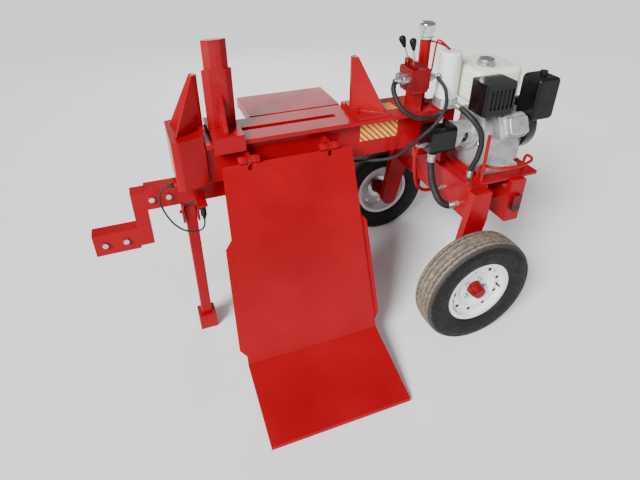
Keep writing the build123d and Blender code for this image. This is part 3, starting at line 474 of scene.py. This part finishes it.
# ---- the light cable, a free cord ---------------------------------------------------------------
CABLE_Y = -0.08
CABLE_ROUTE = [(-0.054, CABLE_Y, 0.884), (-0.088, CABLE_Y, 0.884), (-0.114, CABLE_Y, 0.860),
               (-0.121, CABLE_Y, 0.820), (-0.113, CABLE_Y, 0.778), (-0.099, CABLE_Y, 0.734),
               (-0.078, CABLE_Y, 0.692), (-0.048, CABLE_Y, 0.656), (-0.010, CABLE_Y, 0.636),
               (0.030, CABLE_Y, 0.634), (0.050, CABLE_Y, 0.660), (0.050, CABLE_Y, 0.696)]
CABLE_D = 0.008
cable_skin = plastic("cable_sheath", (0.008, 0.008, 0.009), (0.03, 0.03, 0.03), rough=(0.4, 0.55))
cable = spline("light_cable_cord", CABLE_ROUTE, CABLE_D / 2, "frame", cable_skin)
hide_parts("light_cable")
lathe("cable_gland", [(0, 0.011), (0.004, 0.011), (0.012, 0.0085), (0.022, 0.006), (0.026, 0.0048)],
      CABLE_ROUTE[0], (-1, 0, 0), "frame", "black_plastic", steps=24)

# ---- tyres -----------------------------------------------------------------------------------------
half_profile = [(0.0, 0.2850), (0.0105, 0.2850), (0.0125, 0.2785), (0.0170, 0.2785), (0.0190, 0.2846),
                (0.0330, 0.2836), (0.0350, 0.2768), (0.0395, 0.2764), (0.0415, 0.2826), (0.0540, 0.2806),
                (0.0600, 0.2770), (0.0655, 0.2690), (0.0668, 0.2650), (0.0662, 0.2620), (0.0690, 0.2560),
                (0.0712, 0.2440), (0.0722, 0.2420), (0.0722, 0.2390), (0.0719, 0.2370), (0.0724, 0.2240),
                (0.0718, 0.2080), (0.0700, 0.1940), (0.0668, 0.1810), (0.0655, 0.1780), (0.0655, 0.1755),
                (0.0640, 0.1735), (0.0612, 0.1700), (0.0560, 0.1665), (0.0512, 0.1650), (0.0490, 0.1620),
                (0.0490, 0.1535), (0.0400, 0.1525), (0.0420, 0.1700), (0.0600, 0.1950), (0.0640, 0.2240),
                (0.0590, 0.2480), (0.0450, 0.2640), (0.0, 0.2690)]
tyre_profile = half_profile + [(-along, radius) for along, radius in reversed(half_profile[1:-1])]
TREAD_ZIGZAG = 0.0016
TYRE_STEPS = 216
RIM_SLOTS = 9
SLOT_RING_R = 0.120
STEM_RING_R = 0.118
SIDES = (("near", -1), ("far", 1))


def tread_zigzag(k, step):
    """Zigzag of the tread grooves round the tyre; the sidewalls stay true."""
    along, radius = tyre_profile[k]
    if 0.005 < abs(along) < 0.045 and radius > 0.276:
        return TREAD_ZIGZAG * (1 if step // 2 % 2 else -1), 0
    return 0, 0


for side, sign in SIDES:
    body = side + "_wheel"
    centre = (AXLE[0], sign * AXLE[1], AXLE[2])
    outwards = (0, sign, 0)
    tyre = lathe(side + "_tyre_tread", tyre_profile, centre, (0, 1, 0), body, "tyre_rubber", steps=TYRE_STEPS,
                 skin=tyre_rubber(side + "_tyre_rubber", centre), closed=True, shift=tread_zigzag)
    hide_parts(side + "_tyre")
    # The rim's slots are thin dark discs that stand on its face: painted shade of the open slots, in the black
    # moulding's skin.
    for k in range(RIM_SLOTS):
        turn = math.radians(20 + 360 / RIM_SLOTS * k)
        slot_at = (AXLE[0] + SLOT_RING_R * math.cos(turn), sign * AXLE[1], AXLE[2] + SLOT_RING_R * math.sin(turn))
        lathe(f"{side}_rim_slot_shade_{k}", [(0.0285, 0.0098), (0.0306, 0.0098), (0.0312, 0.009)], slot_at, outwards,
              body, "black_plastic", steps=24)
    lathe(side + "_valve_stem", [(0, 0.005), (0.02, 0.005), (0.022, 0.0038), (0.034, 0.0036), (0.036, 0.0028)],
          (AXLE[0] + STEM_RING_R, sign * (AXLE[1] + 0.022), AXLE[2]), outwards, body, "black_plastic", steps=16)

# ---- hose fittings -------------------------------------------------------------------------------------
FERRULE_RIDGES, RIDGE_PITCH = 5, 0.0052


def fitting(name, place, direction, hose_r):
    """A crimped ferrule and a hexagon nut round a hose's end; direction points along the hose, off the port."""
    direction = Vector(direction).normalized()
    ferrule = hose_r + 0.0022
    profile = [(0.012, ferrule - 0.002)]
    for k in range(FERRULE_RIDGES):
        start = 0.014 + k * RIDGE_PITCH
        profile += [(start, ferrule), (start + 0.0036, ferrule), (start + 0.0044, ferrule - 0.0008)]
    profile += [(0.042, ferrule), (0.044, ferrule - 0.001)]
    lathe(name + "_ferrule", profile, place, direction, "frame", "zinc_steel", steps=32)
    chamfer, flat = hose_r + 0.002, hose_r + 0.0046
    lathe(name + "_nut", [(-0.001, chamfer), (0.0005, flat), (0.0105, flat), (0.012, chamfer)],
          place, direction, "frame", "zinc_steel", steps=6)


FITTINGS = {
    "pressure_hose_valve": ((0.964, -0.114, 1.215), (-1, 0, 0), 0.011),
    "pressure_hose_pump": ((1.150, -0.160, 1.011), (0, 0, 1), 0.011),
    "suction_hose_pump": ((1.132, -0.160, 0.855), (0, 0, -1), 0.017),
    "suction_hose_tank": ((1.235, -0.262, 0.604), (-1, 0, 0), 0.017),
    "return_hose_filter": ((1.228, -0.156, 1.081), (0, -1, 0), 0.013),
    "return_hose_tank": ((1.286, -0.266, 0.740), (0, 0, 1), 0.013),
    "lift_hose_valve": ((1.110, -0.114, 1.215), (1, 0, 0), 0.008),
    "lift_hose_ram": ((0.530, 0.150, 0.720), (1, 0, 0), 0.008),
    "steel_pipe_pump": ((1.086, -0.160, 0.905), (-1, 0, 0), 0.009),
    "steel_pipe_tank": ((1.235, -0.150, 0.640), (-1, 0, 0), 0.009),
}
for name, (place, direction, hose_r) in FITTINGS.items():
    fitting(name, place, direction, hose_r)


# ---- levers, caps and tank seam ----------------------------------------------------------------------
LEVER_FOOT_X = 1.016
for name, y, lean in (("lift_lever", -0.062, -0.046), ("wedge_lever", -0.114, -0.022)):
    foot = Vector((LEVER_FOOT_X, y, LEVER_FOOT_Z))
    stem = Vector((lean, 0, 0.108))
    length = stem.length
    rod = lathe(name + "_rod", [(0.004, 0.0055), (0.012, 0.005), (0.02, 0.004), (length - 0.046, 0.0036)],
                foot, stem, name, "zinc_steel", steps=20)
    grip = [(0, 0.006), (0.004, 0.0078), (0.012, 0.0092), (0.022, 0.0122), (0.032, 0.0146), (0.040, 0.0152),
            (0.046, 0.0138), (0.050, 0.0105), (0.0525, 0.005), (0.053, 0.001)]
    lathe(name + "_grip", [(along + length - 0.05, radius) for along, radius in grip], foot, stem, name,
          "black_plastic", steps=32)
    lathe(name + "_foot", [(-0.0062, 0.0085), (-0.0055, 0.0098), (0.0055, 0.0098), (0.0062, 0.0085)], foot,
          (0, 1, 0), name, "zinc_steel", steps=32)
    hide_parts(name)


def fluted(depth, every, low, high):
    """Shift that presses flutes into the points from low to high of a profile."""
    return lambda k, step: (0, -depth if low <= k <= high and step % every == 0 else 0)


NECK = (1.136, 0.008, 1.352)
cap = lathe("breather_cap_shell", [(-0.03, 0.0185), (0, 0.0185), (0, 0.034), (0.009, 0.034), (0.011, 0.030),
                                   (0.031, 0.030), (0.034, 0.036), (0.038, 0.037), (0.060, 0.037), (0.066, 0.035),
                                   (0.070, 0.030), (0.072, 0.020), (0.0715, 0.002)], NECK, (0, 0, 1),
            "breather_cap", "zinc_steel", steps=72, skin=chrome, shift=fluted(0.0022, 3, 7, 8))
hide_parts("breather_cap")
FUEL_CAP = (1.36, -0.15, 1.2465)
cap = lathe("fuel_cap_shell", [(0, 0.030), (0.006, 0.030), (0.0065, 0.036), (0.009, 0.038), (0.028, 0.038),
                               (0.033, 0.036), (0.036, 0.031), (0.0365, 0.020), (0.0345, 0.016), (0.0345, 0.001)],
            FUEL_CAP, (0, 0, 1), "fuel_cap", "zinc_steel", steps=64, shift=fluted(0.0018, 4, 3, 4))
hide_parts("fuel_cap")


# The recoil starter's pressed cover, with a ring of vent ribs on its face.
SHAFT_Y, SHAFT_Z = -0.16, 0.947
VENT_EVERY, VENT_DEPTH = 6, 0.006
RECOIL_BOLTS, BOLT_RING_R = 3, 0.1245


def vents(k, step):
    """Sinks half of each run of steps in the cover's face, between its two rings."""
    return (-VENT_DEPTH if 6 <= k <= 8 and step % VENT_EVERY < VENT_EVERY / 2 else 0, 0)


cover = lathe("recoil_cover", [(0, 0.120), (0, 0.128), (0.004, 0.128), (0.044, 0.127), (0.056, 0.122), (0.062, 0.112),
                               (0.0625, 0.108), (0.064, 0.090), (0.0645, 0.072), (0.0655, 0.066), (0.071, 0.062),
                               (0.072, 0.056), (0.072, 0.030), (0.0705, 0.026), (0.0705, 0.001)],
              (1.56, SHAFT_Y, SHAFT_Z), (1, 0, 0), "frame", "black_plastic", steps=120, skin=gloss_black,
              shift=vents)
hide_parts("recoil_housing")
for k in range(RECOIL_BOLTS):
    angle = math.radians(30 + 360 / RECOIL_BOLTS * k)
    bolt_at = (1.606, SHAFT_Y + BOLT_RING_R * math.cos(angle), SHAFT_Z + BOLT_RING_R * math.sin(angle))
    lathe(f"recoil_bolt_{k}", [(0, 0.009), (0.001, 0.009), (0.001, 0.006), (0.006, 0.006), (0.007, 0.0045)],
          bolt_at, (1, 0, 0), "frame", "zinc_steel", steps=6)
# Cover screws of the engine's side and head.
for k, (y, z) in enumerate(((-0.235, 0.81), (-0.235, 0.90), (-0.085, 0.81), (-0.085, 1.02))):
    lathe(f"crankcase_screw_{k}", [(0, 0.0085), (0.0045, 0.0085), (0.006, 0.007)], (1.3302, y, z), (-1, 0, 0),
          "frame", "zinc_steel", steps=6)


CORNER_STEPS = 8


def tank_plate(name, low, high, corner):
    """A flat plate with round corners in plan, in the fuel tank's paint."""
    bm = bmesh.new()
    outline = []
    for cx, cy, start in ((high[0] - corner, high[1] - corner, 0), (low[0] + corner, high[1] - corner, 90),
                          (low[0] + corner, low[1] + corner, 180), (high[0] - corner, low[1] + corner, 270)):
        for k in range(CORNER_STEPS + 1):
            angle = math.radians(start + k * 90 / CORNER_STEPS)
            outline.append((cx + corner * math.cos(angle), cy + corner * math.sin(angle)))
    rings = [[bm.verts.new((x, y, z)) for x, y in outline] for z in (low[2], high[2])]
    count = len(outline)
    for k in range(count):
        bm.faces.new((rings[0][k], rings[0][(k + 1) % count], rings[1][(k + 1) % count], rings[1][k]))
    bm.faces.new(list(reversed(rings[0])))
    bm.faces.new(rings[1])
    rims = [edge for edge in bm.edges if any(len(face.verts) > 4 for face in edge.link_faces)]
    bmesh.ops.bevel(bm, geom=rims, offset=0.001, segments=2, affect="EDGES", profile=0.5)
    finish_piece(name, bm, "frame", "cream_tank")


tank_plate("fuel_tank_seam", (1.271, -0.225, 1.166), (1.533, 0.033, 1.171), 0.042)
tank_plate("fuel_filler_collar", (1.318, -0.192, 1.2455), (1.402, -0.108, 1.2475), 0.041)

# Two thin bent rods guard the filter, from the filler neck to the filter's top.
GUARD_ROD_R = 0.0042
GUARD_RODS = {
    "filter_guard_rod_a": [(1.158, 0.0, 1.338), (1.172, -0.012, 1.338), (1.19, -0.04, 1.333), (1.205, -0.07, 1.322),
                           (1.208, -0.082, 1.316)],
    "filter_guard_rod_b": [(1.146, -0.05, 1.215), (1.15, -0.05, 1.26), (1.155, -0.05, 1.33), (1.158, -0.05, 1.352),
                           (1.168, -0.053, 1.356), (1.19, -0.065, 1.338), (1.212, -0.08, 1.316)],
}
for name, route in GUARD_RODS.items():
    spline(name, route, GUARD_ROD_R, "frame", red)

# ---- weld beads ------------------------------------------------------------------------------------------
BEAD_R, RIPPLE_PITCH = 0.0032, 0.0022


def weld_bead(name, start, end):
    """A fillet weld with its ripples, painted over, from start to end."""
    start, end = Vector(start), Vector(end)
    run = end - start
    count = int(run.length / RIPPLE_PITCH)
    profile = [(0, BEAD_R * 0.3)]
    for k in range(count):
        along = run.length * (k + 0.5) / count
        profile.append((along, BEAD_R * (1.0 if k % 3 else 0.8)))
    profile.append((run.length, BEAD_R * 0.3))
    lathe(name, profile, start, run, "frame", "red_paint", steps=10)


BEAM_SIDE = 0.075
SLIDE_WELD_Z = 1.029
BLOCK_WELD_X = 0.0965
for k, x in enumerate((0.255, 0.610)):
    for j, offset in enumerate((-0.009, 0.009)):
        weld_bead(f"lug_weld_{k}_{j}", (x + offset, -BEAM_SIDE, 0.906), (x + offset, -BEAM_SIDE, 0.998))
for side, sign in SIDES:
    y = sign * (BEAM_SIDE + 0.001)
    weld_bead(f"slide_plate_weld_{side}", (0.11, y, SLIDE_WELD_Z), (1.18, y, SLIDE_WELD_Z))
    y = sign * BEAM_SIDE
    weld_bead(f"block_weld_{side}", (BLOCK_WELD_X, y, 0.87), (BLOCK_WELD_X, y, 1.025))

# ---- generic yellow decals, plain stripes without lettering -------------------------------------------------
film = Surface("decal_film")
stripes = film.above(film.wave(22, 0, "DIAGONAL"), 0.62, 0.02)
yellow = film.ramp(film.noise(40, 4), (0.72, 0.46, 0.02), (0.82, 0.56, 0.04))
film.colour(film.mix(stripes, yellow, (0.5, 0.004, 0.008)))
film.rough(0.3, 0.45)
film.relief(0.0001, film.noise(300, 2))


def decal(name, low, high):
    """A thin striped film between two corners."""
    bm = bmesh.new()
    bmesh.ops.create_cube(bm, size=1)
    low, high = Vector(low), Vector(high)
    for vert in bm.verts:
        vert.co = Vector([low[i] + (vert.co[i] + 0.5) * (high[i] - low[i]) for i in range(3)])
    bmesh.ops.bevel(bm, geom=bm.edges[:], offset=0.0002, segments=1, affect="EDGES", profile=0.5)
    finish_piece(name, bm, "frame", "red_paint", film.material)


decal("beam_side_decal", (0.79, -0.0756, 0.935), (0.98, -0.0750, 1.018))
decal("deck_decal", (0.90, -0.030, 1.0500), (1.0, 0.05, 1.0506))

# ---- floor -----------------------------------------------------------------------------------------------------
ground = Surface("pale_floor")
ground.colour(ground.ramp(ground.noise(3, 4), (0.86, 0.86, 0.86), (0.89, 0.89, 0.89)))
ground.rough(0.7, 0.85)
ground.relief(0.0002, ground.noise(200, 3))
floor_mesh = bpy.data.meshes.new("floor")
REACH = 40
corners = [(-REACH, -REACH, 0), (REACH, -REACH, 0), (REACH, REACH, 0), (-REACH, REACH, 0)]
floor_mesh.from_pydata(corners, [], [(0, 1, 2, 3)])
floor_mesh.materials.append(ground.material)
floor = add_object("floor", floor_mesh)
floor.location = (0, 0, -0.0005)
